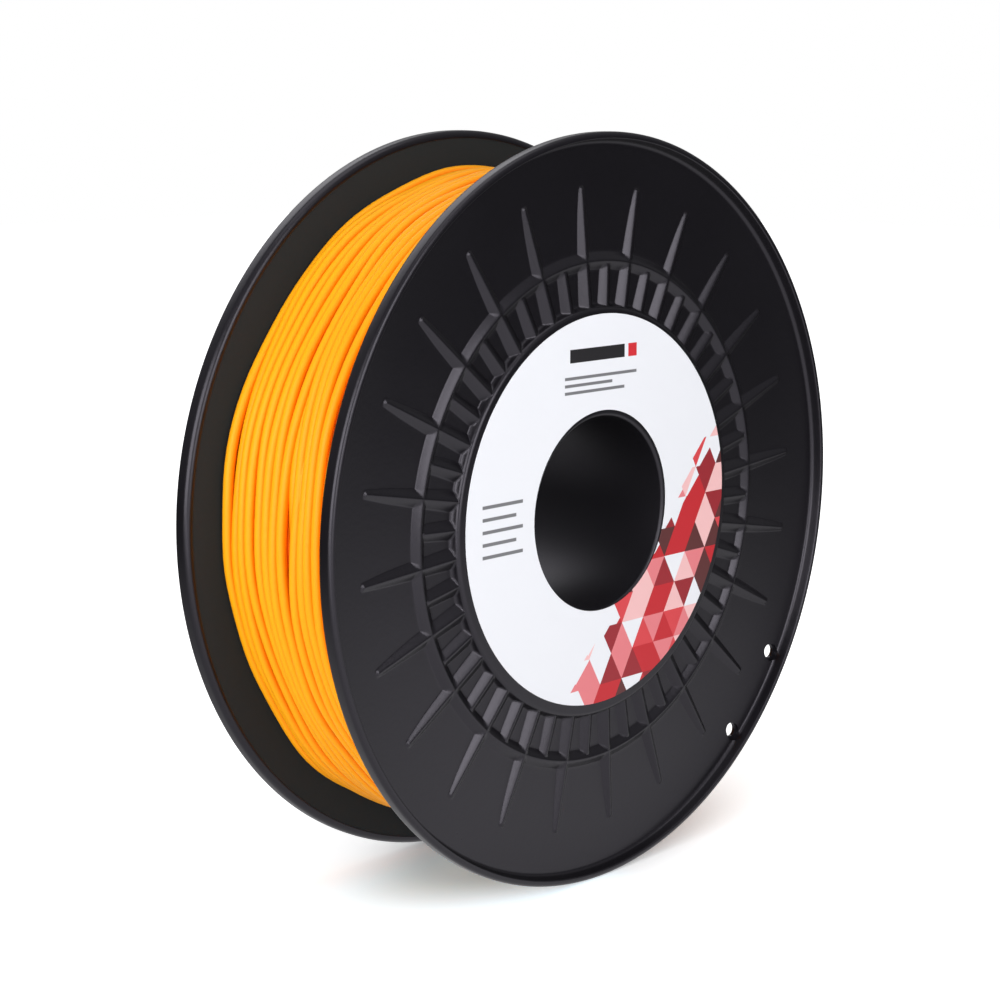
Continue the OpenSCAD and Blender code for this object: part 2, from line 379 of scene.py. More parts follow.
def shade(g, mesh):
    """Smooth shading, except across sharp edges."""
    smooth = g.make("GeometryNodeSetShadeSmooth", in_0=mesh)[0]
    sharp = g.math("GREATER_THAN", g.make("GeometryNodeInputMeshEdgeAngle")[0], SHARP_ANGLE)
    crisp = g.make("GeometryNodeSetShadeSmooth", {"domain": "EDGE"}, in_0=smooth, in_1=sharp, in_2=False)
    return crisp[0]


def arc(centre, r, start, end, steps):
    """Points along an arc, by angles in degrees."""
    angles = [math.radians(start + (end - start) * i / steps) for i in range(steps + 1)]
    return [(centre[0] + r * math.cos(a), centre[1] + r * math.sin(a)) for a in angles]


def along(start, end, pitch):
    """Radii from start to end, about a pitch apart, ends included."""
    count = max(1, round((end - start) / pitch))
    return [start + (end - start) * i / count for i in range(count + 1)]


def between(a, b, share):
    """The point at a share of the way from a to b."""
    return tuple(p + share * (q - p) for p, q in zip(a, b))


# ---------------------------------------------------------------- flanges


# Hollow at the boss's foot: points outwards and up from it
BOSS_HOLLOW = ((-0.4, 0.6), (-0.24, 0.34), (-0.05, 0.13), (0.2, 0.03))

# Rows of the flange's mesh: distances from the ring rib's middle, and radii on the inner cone
RING_ROWS, CONE_ROWS = (0.2, 0.42, 0.8, 1.3, 1.8, 2.03, 2.16, 2.28, 2.45), (95.0, 85.0, 74.0, 62.0)

# Spacing of the other rows: near the hub, on the web, at the long ribs' tips and towards the rim
HUB_PITCH, WEB_PITCH, TIP_PITCH, RIM_PITCH = 1.2, 1.9, 0.32, 2.0

# How far the rows' stretches reach past the ring rib's middle and the tips, and keep from other forms
RING_REACH, TIP_REACH = 3.2, 1.6
FOOT_TO_ROWS, ROWS_TO_TIP, TIP_TO_ROWS, ROWS_TO_BEAD = 0.6, 2.0, 2.6, 0.5
LIP_TO_CONE, CONE_TO_DRUM = 0.4, 0.2

# Rows on the bead's wall, as shares of its height
WALL_ROWS = (0.33, 0.66)

# Columns of the flange's mesh from a rib's middle: shares of its half top, its foot, the rest of the bay
TOP_COLUMNS, FOOT_COLUMNS, BAY_COLUMNS = (0.5, 1.2), (0.55, 0.82, 0.94, 1.01, 1.1), (0.5, 1.0)

# The pegs that cut the holes reach this far on either side of the outermost plane
PEG_REACH = 20.0


def web_with_ring(r):
    """Height of the web with the ring rib blended into it."""
    half_top = RING_TOP_W / 2
    web = web_top(r)
    ring = -RING_DEPTH - (math.hypot(r - RING_R, half_top) - half_top) / RIB_FLARE
    blend = max(FOOT_BLEND - abs(web - ring), 0.0) / FOOT_BLEND
    return max(web, ring) + blend * blend * FOOT_BLEND / 4


def flange_section():
    """Closed section of a flange: (radius, 1 where ribs may rise, height)."""
    seat_r = SLEEVE_OUT_R + FIT_GAP
    under_r = SPOOL_R - RIM_BACK_R
    back_z = web_under(under_r) - RIM_LIP
    seat_z = web_under(DRUM_R)
    spigot_r = DRUM_R - DRUM_T - FIT_GAP
    under_boss = -BOSS_DEPTH - BOSS_T

    hub_rows = along(BOSS_FOOT_R + FOOT_TO_ROWS, RING_R - RING_REACH, HUB_PITCH)
    ring_rows = [RING_R - d for d in reversed(RING_ROWS)] + [RING_R] + [RING_R + d for d in RING_ROWS]
    web_rows = along(RING_R + RING_REACH, LONG_RIB_END_R - ROWS_TO_TIP, WEB_PITCH)
    tip_rows = along(LONG_RIB_END_R - TIP_REACH, LONG_RIB_END_R + TIP_REACH, TIP_PITCH)
    rim_rows = along(LONG_RIB_END_R + TIP_TO_ROWS, BEAD_FOOT_R - ROWS_TO_BEAD, RIM_PITCH)
    cone_rows = (under_r - LIP_TO_CONE, *CONE_ROWS, DRUM_R + CONE_TO_DRUM)

    plain = [(seat_r, -BOSS_DEPTH), ((seat_r + BOSS_EDGE_R) / 2, -BOSS_DEPTH)]
    ribbed = arc((BOSS_EDGE_R, -BOSS_DEPTH - SHOULDER_R), SHOULDER_R, 90, 8, 9)
    ribbed += [(BOSS_FOOT_R + out, web_top(BOSS_FOOT_R) + up) for out, up in BOSS_HOLLOW]
    ribbed += [(r, web_with_ring(r)) for r in hub_rows + ring_rows + web_rows + tip_rows]

    rim = [(r, web_top(r)) for r in rim_rows]
    rim += arc((BEAD_FOOT_R + BEAD_FILLET_SHIFT, BEAD_FILLET_R - BEAD_H), BEAD_FILLET_R, -88, -10, 7)
    wall_foot = rim[-1]
    edge = (BEAD_FOOT_R + BEAD_LEAN + BEAD_EDGE_R, -BEAD_EDGE_R)
    wall_head = (edge[0] - BEAD_EDGE_R, edge[1])
    rim += [between(wall_foot, wall_head, share) for share in WALL_ROWS]
    rim += arc(edge, BEAD_EDGE_R, 172, 90, 4)
    rim += arc((SPOOL_R - RIM_FRONT_R, -RIM_FRONT_R), RIM_FRONT_R, 90, 0, 6)
    rim += arc((under_r, back_z + RIM_BACK_R), RIM_BACK_R, 0, -90, 6)

    inner = arc((under_r - LIP_SETBACK, back_z + LIP_EDGE_R), LIP_EDGE_R, -90, -170, 3)
    inner += [(r, web_under(r)) for r in cone_rows]
    inner += [(DRUM_R, seat_z), (spigot_r, seat_z), (spigot_r, seat_z - SPIGOT_LEN)]
    inner += [(spigot_r - SPIGOT_T, seat_z - SPIGOT_LEN), (spigot_r - SPIGOT_T, under_boss)]
    inner += [(seat_r + COLLAR_T, under_boss), (seat_r + COLLAR_T, under_boss - COLLAR_LEN)]
    inner += [(seat_r, under_boss - COLLAR_LEN)]

    rows = [(r, 0, z) for r, z in plain] + [(r, 1, z) for r, z in ribbed]
    rows += [(r, 0, z) for r, z in rim + inner]
    return rows + rows[:1]


def rib_columns():
    """Places of the mesh's columns across one rib's bay, as shares of (half top, foot, half bay)."""
    side = [(0, 0, 0)]
    side += [(share, 0, 0) for share in TOP_COLUMNS]
    side += [(0, share, 0) for share in FOOT_COLUMNS]
    last = side[-1]
    side += [between(last, (0, 0, 1), share) for share in BAY_COLUMNS]
    left = [tuple(-v for v in place) for place in reversed(side[1:-1])]
    return left + side


def flange_tree(material):
    """Ribbed disc: a grid wrapped round the axis along the section, with the ribs raised on it."""
    kinds = {
        "Section": ("NodeSocketObject", None),
        "Columns": ("NodeSocketObject", None),
        "Rows": ("NodeSocketInt", 10),
        "Columns in a bay": ("NodeSocketInt", 10),
        "Bays": ("NodeSocketInt", BAY_COUNT),
        "Phase": ("NodeSocketFloat", RIB_PHASE),
        "Rib top width": ("NodeSocketFloat", RIB_TOP_W),
        "Rib flare": ("NodeSocketFloat", RIB_FLARE),
        "Rib fall": ("NodeSocketFloat", RIB_FALL),
        "Long rib end": ("NodeSocketFloat", LONG_RIB_END_R),
        "Short rib end": ("NodeSocketFloat", RING_R),
        "Long rib top": ("NodeSocketFloat", -LONG_RIB_DEPTH),
        "Short rib top": ("NodeSocketFloat", -SHORT_RIB_DEPTH),
        "First hole": ("NodeSocketFloat", END_HOLE_ANGLES[0]),
        "Second hole": ("NodeSocketFloat", END_HOLE_ANGLES[1]),
    }
    tree, g, value = new_geometry_tree("ribbed_flange", kinds)
    bays, per_bay, rows = value["Bays"], value["Columns in a bay"], value["Rows"]
    grid = g.make("GeometryNodeMeshGrid", in_0=1.0, in_1=1.0, in_2=bays * per_bay + 1, in_3=rows)
    index = g.make("GeometryNodeInputIndex")[0]
    column = g.math("FLOOR", (index + 0.5) / rows)
    bay = g.math("FLOOR", (column + 0.5) / per_bay)
    r, ribbed, z = look_up(g, value["Section"], index - column * rows)
    top_share, foot_share, bay_share = look_up(g, value["Columns"], column - bay * per_bay)

    odd = g.math("MODULO", bay, 2.0)
    hub_top = value["Long rib top"] + odd * (value["Short rib top"] - value["Long rib top"])
    rib_end = value["Long rib end"] + odd * (value["Short rib end"] - value["Long rib end"])
    half_top = value["Rib top width"] * 0.5
    flare = value["Rib flare"]

    def crest(radius):
        """Height of the rib's top, which falls outwards."""
        return hub_top - value["Rib fall"] * (radius - BOSS_EDGE_R)

    rib_top = crest(r)
    end_rise = crest(rib_end) - web_top(rib_end, g.high)
    tip = rib_end - (half_top + flare * end_rise) / TIP_STEEPNESS
    half_bay = r * (math.pi / BAY_COUNT)
    rise = g.high(rib_top - web_top(r, g.high), FOOT_LEAST_H)
    foot = g.low(half_top + flare * rise, half_bay * FOOT_BAY_SHARE)
    offset = top_share * half_top + foot_share * foot + bay_share * half_bay
    past_tip = g.high(r - tip, 0.0) * TIP_STEEPNESS
    distance = g.root(offset * offset + past_tip * past_tip + half_top * half_top)
    rib = rib_top - (distance - half_top) / flare
    height = z + ribbed * (g.high(z, rib, FOOT_BLEND) - z)
    angle = (bay * (360.0 / BAY_COUNT) + value["Phase"]) * DEGREE + offset / r
    disc = wrap(g, grid, polar(g, r, height, angle))

    # Pegs that cut a through hole and the notch beside it: width, radius, bottom and top
    pegs = (
        (END_HOLE_D, END_HOLE_R, -PEG_REACH, PEG_REACH),
        (END_NOTCH_D, END_NOTCH_R, web_top(END_NOTCH_R) - END_NOTCH_SINK, PEG_REACH),
    )
    difference = {"operation": "DIFFERENCE", "solver": "EXACT"}
    for title in ("First hole", "Second hole"):
        for width, centre_r, low, high in pegs:
            peg = g.make("GeometryNodeMeshCylinder", {"fill_type": "NGON"},
                         Vertices=PEG_SIDES, Radius=width / 2, Depth=high - low)["Mesh"]
            middle = polar(g, centre_r, (low + high) / 2, value[title] * DEGREE)
            peg = g.make("GeometryNodeTransform", in_0=peg, Translation=middle,
                         Rotation=(math.pi / 2, 0.0, 0.0))[0]
            disc = g.make("GeometryNodeMeshBoolean", difference, in_0=disc, in_1=peg)["Mesh"]
    end_geometry_tree(g, shade(g, disc), material)
    return tree


def make_flanges(material):
    """The front flange, and the same moulding turned round as the rear one."""
    section, columns = flange_section(), rib_columns()
    section_points = add_points("flange_section", section)
    column_points = add_points("rib_columns", columns)
    front = grow("front_flange_shell", flange_tree(material), **{
        "Section": section_points, "Columns": column_points,
        "Rows": len(section), "Columns in a bay": len(columns),
    })
    # The tree works in millimetres with the outer face towards +Y; the front flange faces -Y
    place = Matrix.Translation((0, -HALF_W * MM, 0)) @ Matrix.Diagonal((MM, -MM, MM, 1))
    front.data.transform(place)
    front.data.flip_normals()
    rear = add_object("rear_flange_shell", front.data.copy())
    rear.data.transform(Matrix.Rotation(math.pi, 4, "X"))
    for points in (section_points, column_points):
        bpy.data.objects.remove(points)
    finish_piece(front, "front_flange", material)
    finish_piece(rear, "rear_flange", material)


# ---------------------------------------------------------------- core and label


def turned_tree(material):
    """A closed section, as points of radius and height, turned about the axis."""
    kinds = {
        "Section": ("NodeSocketObject", None),
        "Rows": ("NodeSocketInt", 10),
        "Columns": ("NodeSocketInt", TURNED_COLUMNS),
    }
    tree, g, value = new_geometry_tree("turned_section", kinds)
    rows, columns = value["Rows"], value["Columns"]
    grid = g.make("GeometryNodeMeshGrid", in_0=1.0, in_1=1.0, in_2=columns + 1, in_3=rows)
    index = g.make("GeometryNodeInputIndex")[0]
    column = g.math("FLOOR", (index + 0.5) / rows)
    r, z, _ = look_up(g, value["Section"], index - column * rows)
    ring = wrap(g, grid, polar(g, r, z, column / columns * TAU))
    end_geometry_tree(g, shade(g, ring), material)
    return tree


def turn_piece(name, tree, section, columns=TURNED_COLUMNS):
    """A turned piece from its closed section, still in millimetres."""
    points = add_points(name + "_section", [(r, z, 0) for r, z in section + section[:1]])
    piece = grow(name, tree, Section=points, Rows=len(section) + 1, Columns=columns)
    bpy.data.objects.remove(points)
    return piece


def web_plates_tree(material):
    """Radial plates between the sleeve and the drum."""
    kinds = {
        "Count": ("NodeSocketInt", CORE_WEBS),
        "Thickness": ("NodeSocketFloat", CORE_WEB_T),
        "Half length": ("NodeSocketFloat", HALF_W / 2),
        "Inner radius": ("NodeSocketFloat", SLEEVE_OUT_R - CORE_WEB_SINK),
        "Outer radius": ("NodeSocketFloat", DRUM_R - CORE_WEB_SINK),
    }
    tree, g, value = new_geometry_tree("core_webs", kinds)
    reach = value["Outer radius"] - value["Inner radius"]
    size = g.join(reach, value["Half length"] * 2.0, value["Thickness"])
    plate = g.make("GeometryNodeMeshCube", Size=size)["Mesh"]
    middle = g.join((value["Outer radius"] + value["Inner radius"]) / 2.0, 0.0, 0.0)
    plate = g.make("GeometryNodeTransform", in_0=plate, Translation=middle)[0]
    spots = g.make("GeometryNodeMeshLine", Count=value["Count"], Offset=(0.0, 0.0, 0.0))["Mesh"]
    turn = g.make("GeometryNodeInputIndex")[0] / value["Count"] * TAU
    placed = g.make("GeometryNodeInstanceOnPoints", Points=spots, Instance=plate,
                    Rotation=g.join(0.0, turn, 0.0))["Instances"]
    end_geometry_tree(g, placed, material)
    return tree


def make_core(turned, material):
    """Sleeve with rounded mouths, drum, and the webs that join them."""
    sleeve_half = HALF_W - BOSS_DEPTH
    drum_half = room(DRUM_R)
    lip_r = SLEEVE_IN_R + BORE_LIP_R
    sleeve = arc((lip_r, sleeve_half - BORE_LIP_R), BORE_LIP_R, 180, 90, 8)
    sleeve += [(SLEEVE_OUT_R, sleeve_half), (SLEEVE_OUT_R, -sleeve_half)]
    sleeve += arc((lip_r, BORE_LIP_R - sleeve_half), BORE_LIP_R, 270, 180, 8)
    inner_r = DRUM_R - DRUM_T
    drum = [(inner_r, drum_half), (DRUM_R, drum_half), (DRUM_R, -drum_half), (inner_r, -drum_half)]
    web_half = drum_half - SPIGOT_LEN - CORE_WEB_GAP
    webs = grow("core_webs", web_plates_tree(material), **{"Half length": web_half})
    core = join_pieces("core_shell", [
        turn_piece("sleeve", turned, sleeve), turn_piece("drum", turned, drum), webs,
    ])
    core.data.transform(Matrix.Scale(MM, 4))
    finish_piece(core, "core", material)


def make_label(turned, material):
    """Printed ring with softened cut edges."""
    ring = turn_piece("label_ring", turned, [
        (LABEL_HOLE_R, 0.0), (LABEL_HOLE_R, LABEL_T - LABEL_EDGE), (LABEL_HOLE_R + LABEL_EDGE, LABEL_T),
        (LABEL_R - LABEL_EDGE, LABEL_T), (LABEL_R, LABEL_T - LABEL_EDGE), (LABEL_R, 0.0),
    ], LABEL_COLUMNS)
    ring.data.transform(Matrix.Diagonal((MM, -MM, MM, 1)))
    ring.data.flip_normals()
    ring.data.transform(Matrix.Translation((LABEL_CENTRE.x, (BOSS_DEPTH - HALF_W) * MM, LABEL_CENTRE.z)))
    finish_piece(ring, "front_label", material)


# ---------------------------------------------------------------- filament


# Shares of the tail's sweep at which it has risen to the hole's radius and starts off the flange
TAIL_RISEN, TAIL_LEAVES = 0.7, 0.35

# Parts of a turn: the climb out of the layer below, and that layer's shift across
CLIMB_TURNS, INNER_SHIFT = 0.12, 0.25

# The room for a strand is measured this far inside its centre circle
ROOM_DROP = 1.0

# Turns over which the strand's unevenness fades in after its start, and out before its end
LOOSE_AFTER, LOOSE_FADE_OUT = (0.02, 0.15), 0.1

# Unevenness as noise: how fast it changes round the reel and from turn to turn, and its start
RIPPLE_OUT, LUMPS, RIPPLE_ACROSS = (1.6, 1.7, 0.0), (2.6, 0.15, 20.0), (1.2, 0.35, 7.0)

# Turns at which the outer strand slips between its neighbours: place, reach in turns, depth
SLIPS = (
    (1.42, 0.04, 0.8), (3.23, 0.05, 1.5), (4.22, 0.04, 1.2), (5.4, 0.05, 0.7), (7.33, 0.05, 1.1),
    (8.24, 0.05, 0.7), (10.2, 0.05, 0.8), (11.31, 0.03, 0.6), (12.4, 0.05, 0.8), (14.3, 0.04, 0.8),
    (14.43, 0.03, 0.8), (15.2, 0.03, 0.7), (15.33, 0.02, 0.4), (15.43, 0.03, 1.0),
)

# Where neighbours part: place round the reel in turns, reach, place across, widening
GAPS = (
    (0.48, 0.06, 0.0, 1.3), (0.41, 0.04, -9.5, 0.8), (0.6, 0.05, 10.0, 0.7), (0.55, 0.04, -4.0, 0.5),
)

# How far across the reel a gap pushes the strands beside it
GAP_SPREAD = 3.0

TAIL_HOLE_ANGLE = -END_HOLE_ANGLES[0]
TAIL_START = TAIL_HOLE_ANGLE - math.degrees(TAIL_BEND_R / END_HOLE_R) - TAIL_SWEEP
ROOT_ANGLE = TAIL_START + STEP_LEAD + STEP_SWEEP
LAST_Y = room(TURN_R - ROOM_DROP) - SIDE_GAP - FILAMENT_R
FULL_TURNS = math.floor(2 * LAST_Y / (FILAMENT_D + LEAST_GAP))
TURN_PITCH = 2 * LAST_Y / FULL_TURNS
TURN_COUNT = FULL_TURNS + 1 - (STEP_LEAD + STEP_SWEEP) / 360


def eased(t):
    """0 below 0, 1 above 1, and smooth between."""
    s = max(0.0, min(1.0, t))
    return s * s * (3 - 2 * s)


def on_reel(r, angle, y):
    """A place by its radius, its angle in degrees from +X towards +Z, and its place along the axis."""
    a = math.radians(angle)
    return Vector((r * math.cos(a), y, r * math.sin(a)))


def place_across(turn):
    """Place along the axis after a number of turns, which changes in one step near each turn's end."""
    share = STEP_SWEEP / 360
    whole = math.floor(turn)
    return min(LAST_Y, TURN_PITCH * (whole + eased((turn - whole - 1 + share) / share)) - LAST_Y)


def outer_layer_path():
    """From the climb out of the layer below, turn by turn, to the free end in the rear flange's hole."""
    path = []
    steps = math.ceil(TURN_COUNT * POINTS_IN_TURN)
    for i in range(steps + 1):
        turn = TURN_COUNT * i / steps
        climb = LAYER_STEP * (1 - eased(turn / CLIMB_TURNS))
        path.append(on_reel(TURN_R - climb, ROOT_ANGLE + 360 * turn, place_across(turn)))
    low_y = room(END_HOLE_R) - SIDE_GAP - TAIL_BEND_R
    for i in range(1, TAIL_STEPS + 1):
        t = i / TAIL_STEPS
        r = TURN_R + (END_HOLE_R - TURN_R) * eased(t / TAIL_RISEN)
        y = LAST_Y + (low_y - LAST_Y) * eased((t - TAIL_LEAVES) / (1 - TAIL_LEAVES))
        path.append(on_reel(r, TAIL_START + TAIL_SWEEP * t, y))
    hole = math.radians(TAIL_HOLE_ANGLE)
    along_rim = Vector((-math.sin(hole), 0, math.cos(hole)))
    for i in range(1, BEND_STEPS + 1):
        a = math.radians(90 * i / BEND_STEPS)
        back = along_rim * TAIL_BEND_R * (math.sin(a) - 1)
        out = Vector((0, TAIL_BEND_R * (1 - math.cos(a)), 0))
        path.append(on_reel(END_HOLE_R, TAIL_HOLE_ANGLE, low_y) + back + out)
    path.append(on_reel(END_HOLE_R, TAIL_HOLE_ANGLE, HALF_W - TAIL_TIP_DEPTH))
    return path


def inner_layer_path():
    """The layer below, wound the other way across, up to where the outer one climbs out of it."""
    path = []
    steps = math.ceil(TURN_COUNT * POINTS_IN_TURN)
    for i in range(steps + 1):
        back = TURN_COUNT * (steps - i) / steps
        y = place_across(back + INNER_SHIFT)
        path.append(on_reel(TURN_R - LAYER_STEP, ROOT_ANGLE - 360 * back, y))
    return path


def strand_tree(material):
    """A round strand along a path, with small ripples and a few places where it slips under."""
    kinds = {
        "Path": ("NodeSocketObject", None),
        "Strand radius": ("NodeSocketFloat", FILAMENT_R),
        "Sides": ("NodeSocketInt", 12),
        "Points in a turn": ("NodeSocketInt", POINTS_IN_TURN),
        "Calm from turn": ("NodeSocketFloat", TURN_COUNT - LOOSE_FADE_OUT),
        "Ripple out": ("NodeSocketFloat", 2.2),
        "Ripple across": ("NodeSocketFloat", 1.8),
        "Lumps": ("NodeSocketFloat", 3.0),
        "Slip": ("NodeSocketFloat", 1.0),
        "Gap": ("NodeSocketFloat", 1.0),
        "Seed": ("NodeSocketFloat", 3.0),
    }
    tree, g, value = new_geometry_tree("strand", kinds)
    line = g.make("GeometryNodeObjectInfo", in_0=value["Path"])["Geometry"]
    turn = g.make("GeometryNodeInputIndex")[0] / value["Points in a turn"]
    x, y, z = g.split(g.make("GeometryNodeInputPosition")[0])
    r = g.root(x * x + z * z)

    def noise(around, between_turns, start):
        spot = g.join(x / r * around, z / r * around, turn * between_turns + start + value["Seed"])
        return g.make("ShaderNodeTexNoise", Vector=spot, Scale=1.0, Detail=0.0)[0] - 0.5

    calm_from = value["Calm from turn"]
    loose = g.step(turn, *LOOSE_AFTER) * (1 - g.step(turn, calm_from - LOOSE_FADE_OUT, calm_from))
    slip = 0.0
    for place, reach, depth in SLIPS:
        away = (turn - place) / reach
        slip = slip + g.math("EXPONENT", -(away * away)) * depth
    waves = noise(*RIPPLE_OUT) * value["Ripple out"] + noise(*LUMPS) * value["Lumps"]
    out = loose * (waves - slip * value["Slip"])
    gap = 0.0
    turn_here = g.math("ARCTAN2", z, x) / TAU
    for place, reach, middle, width in GAPS:
        around = turn_here - g.math("FLOOR", turn_here) - place
        side = (y - middle) / GAP_SPREAD
        opening = g.math("EXPONENT", -(around * around) / reach ** 2 - side * side * 0.5)
        gap = gap + side * opening * width
    across = loose * (noise(*RIPPLE_ACROSS) * value["Ripple across"] + gap * value["Gap"])
    across = g.low(across, g.high(LAST_Y - y, 0.0))
    across = g.high(across, g.low(-LAST_Y - y, 0.0))
    offset = g.join(x / r * out, across, z / r * out)
    moved = g.make("GeometryNodeSetPosition", in_0=line, Offset=offset)[0]
    curve = g.make("GeometryNodeMeshToCurve", in_0=moved)[0]
    profile = g.make("GeometryNodeCurvePrimitiveCircle",
                     Radius=value["Strand radius"], Resolution=value["Sides"])["Curve"]
    tube = g.make("GeometryNodeCurveToMesh", Curve=curve, Profile_Curve=profile, Fill_Caps=True)[0]
    smooth = g.make("GeometryNodeSetShadeSmooth", in_0=tube)[0]
    end_geometry_tree(g, smooth, material)
    return tree


def make_filament(turned, material):
    """The outer layer as one strand, and under it a wound layer over a plain bed."""
    tree = strand_tree(material)
    outer_points = add_points("outer_layer_path", outer_layer_path(), joined=True)
    inner_points = add_points("inner_layer_path", inner_layer_path(), joined=True)
    outer = grow("filament_outer_layer", tree, Path=outer_points)
    inner = grow("inner_strand", tree, **{"Path": inner_points, "Sides": 8, "Ripple out": 0.6,
                                          "Slip": 0.0, "Gap": 0.0, "Seed": 11.0})
    bed_r = TURN_R - LAYER_STEP - BED_DROP
    bed = [(DRUM_R + FIT_GAP, room(DRUM_R) - BED_GAP), (bed_r, room(bed_r) - BED_GAP)]
    bed += [(r, -z) for r, z in reversed(bed)]
    layers = join_pieces("filament_inner_layers", [turn_piece("bed", turned, bed), inner])
    for points in (outer_points, inner_points):
        bpy.data.objects.remove(points)
    for piece, node in ((outer, "filament_top_layer"), (layers, "filament_layers")):
        piece.data.transform(Matrix.Scale(MM, 4))
        finish_piece(piece, node, material)


# ---------------------------------------------------------------- materials

# The second black carries a painted cyan tint that cancels the orange light the filament bounces onto the
# inner faces
GLOSSY_BLACK, DULL_BLACK_BOUNCE_TINTED = (0.0032, 0.0028, 0.004), (0.007, 0.0122, 0.0115)
# The second orange is painted shade, used down in the grooves between strands
ORANGE, SHADED_GROOVE_ORANGE = (1.0, 0.4, 0.004), (1.0, 0.22, 0.0)
LABEL_WHITE, LABEL_BLACK, LABEL_RED = (0.81, 0.82, 0.86), (0.012, 0.011, 0.013), (0.62, 0.02, 0.03)

# How far the dull inner face keeps from the drum and the rim's lip, its blur, and the bore's
DULL_FROM_DRUM, DULL_FROM_LIP, DULL_BLUR, BORE_BLUR = 1.0, 0.4, 0.3, 0.6

# Bars printed on the label: left, right, bottom and top, in millimetres from the axis
TITLE_BAR, RED_BLOCK = (-13.0, 9.0, 41.0, 44.5), (10.5, 14.0, 41.0, 44.5)
THIN_BARS = [(-15.0, right, 36.6 - 1.9 * i, 37.4 - 1.9 * i) for i, right in enumerate((14.0, 4.0, 9.0))]
THIN_BARS += [(-46.0, -31.0 - 2.5 * (i % 2), 7.0 - 3.2 * i, 7.9 - 3.2 * i) for i in range(5)]
BAR_TONE, BAR_BLUR = 0.8, 0.06

# Triangles printed on the label: side, where their field starts along its way, how ragged that is
FACET_SIDE, FIELD_START, FIELD_RAGGED = 9.0, 23.0, 7.0
FIELD_WAY = (0.72, -0.69)
FACET_COLORS = (
    (0.0, (0.52, 0.012, 0.02)), (0.2, (0.3, 0.012, 0.02)), (0.36, (0.75, 0.2, 0.22)),
    (0.5, (0.86, 0.5, 0.5)), (0.64, (0.1, 0.02, 0.02)), (0.76, (0.66, 0.05, 0.06)), (0.88, LABEL_WHITE),
)


def new_material(name):
    """A material with an empty tree but for its shader, and its graph."""
    material = bpy.data.materials.new(name)
    material.use_nodes = True
    tree = material.node_tree
    tree.nodes.clear()
    graph = Graph(tree)
    shader = tree.nodes.new("ShaderNodeBsdfPrincipled")
    out = tree.nodes.new("ShaderNodeOutputMaterial")
    tree.links.new(shader.outputs[0], out.inputs[0])
    return material, graph, shader


def set_inputs(graph, shader, **inputs):
    for name, value in inputs.items():
        graph.feed(graph.socket(shader, name), value)


def noise_on(g, place, scale, detail):
    return g.make("ShaderNodeTexNoise", Vector=place, Scale=scale, Detail=detail)["Fac"]


def fine_bump(g, height, strength, distance):
    return g.make("ShaderNodeBump", Strength=strength, Distance=distance, Height=height)[0]


def black_plastic():
    """Moulded black plastic: glossy outside, duller on the faces towards the filament, where its colour
    carries a painted cyan tint against the orange light bounced from the filament.
    """
    material, g, shader = new_material("black_reel_plastic")
    place = g.make("ShaderNodeTexCoord")["Object"]
    x, y, z = g.split(place)
    out = g.root(x * x + z * z) / MM
    facing = g.split(g.make("ShaderNodeNewGeometry")["Normal"])[1]
    inward = -(facing * g.math("SIGN", y))
    band = g.inside(out, DRUM_R + DULL_FROM_DRUM, SPOOL_R - RIM_BACK_R - DULL_FROM_LIP, DULL_BLUR)
    dull_and_tinted = g.step(inward, 0.3, 0.7) * band
    bore = 1 - g.step(out, SLEEVE_IN_R, SLEEVE_IN_R + BORE_BLUR)
    grain = noise_on(g, place, scale=900.0, detail=3.0)
    cloud = noise_on(g, place, scale=28.0, detail=4.0)
    # Painted light: on the dull inner faces the colour is tinted cyan to cancel the filament's orange
    # bounce; the same mask also raises roughness
    color = g.mix(dull_and_tinted, GLOSSY_BLACK, DULL_BLACK_BOUNCE_TINTED)
    rough = 0.24 + grain * 0.06 + cloud * 0.08 + dull_and_tinted * 0.55 + bore * 0.15
    bump = fine_bump(g, grain, strength=0.1, distance=0.0002)
    set_inputs(g, shader, Base_Color=color, Roughness=rough, Normal=bump, IOR=1.5,
               Specular_Tint=(0.93, 0.88, 1.0))
    return material


def filament_plastic():
    """Bright orange strand with painted shade that makes it redder down in the grooves and on its flanks.
    """
    material, g, shader = new_material("orange_filament")
    place = g.make("ShaderNodeTexCoord")["Object"]
    x, _, z = g.split(place)
    out = g.root(x * x + z * z)
    depth = (TURN_R * MM - out) / (LAYER_STEP * MM)
    facing = g.make("ShaderNodeNewGeometry")["Normal"]
    outward = g.dot(facing, g.join(x / out, 0.0, z / out))
    # Painted shade: the colour turns redder and darker on the lower strands and on each strand's flanks,
    # where the grooves lie
    groove_shade = g.high(g.step(depth, 0.1, 1.0), 0.8 - 0.8 * g.step(outward, 0.1, 0.95))
    color = g.mix(groove_shade, ORANGE, SHADED_GROOVE_ORANGE)
    grain = noise_on(g, place, scale=500.0, detail=2.0)
    bump = fine_bump(g, grain, strength=0.03, distance=0.0002)
    set_inputs(g, shader, Base_Color=color, Roughness=0.42 + grain * 0.06, Normal=bump,
               Specular_IOR_Level=0.2)
    return material


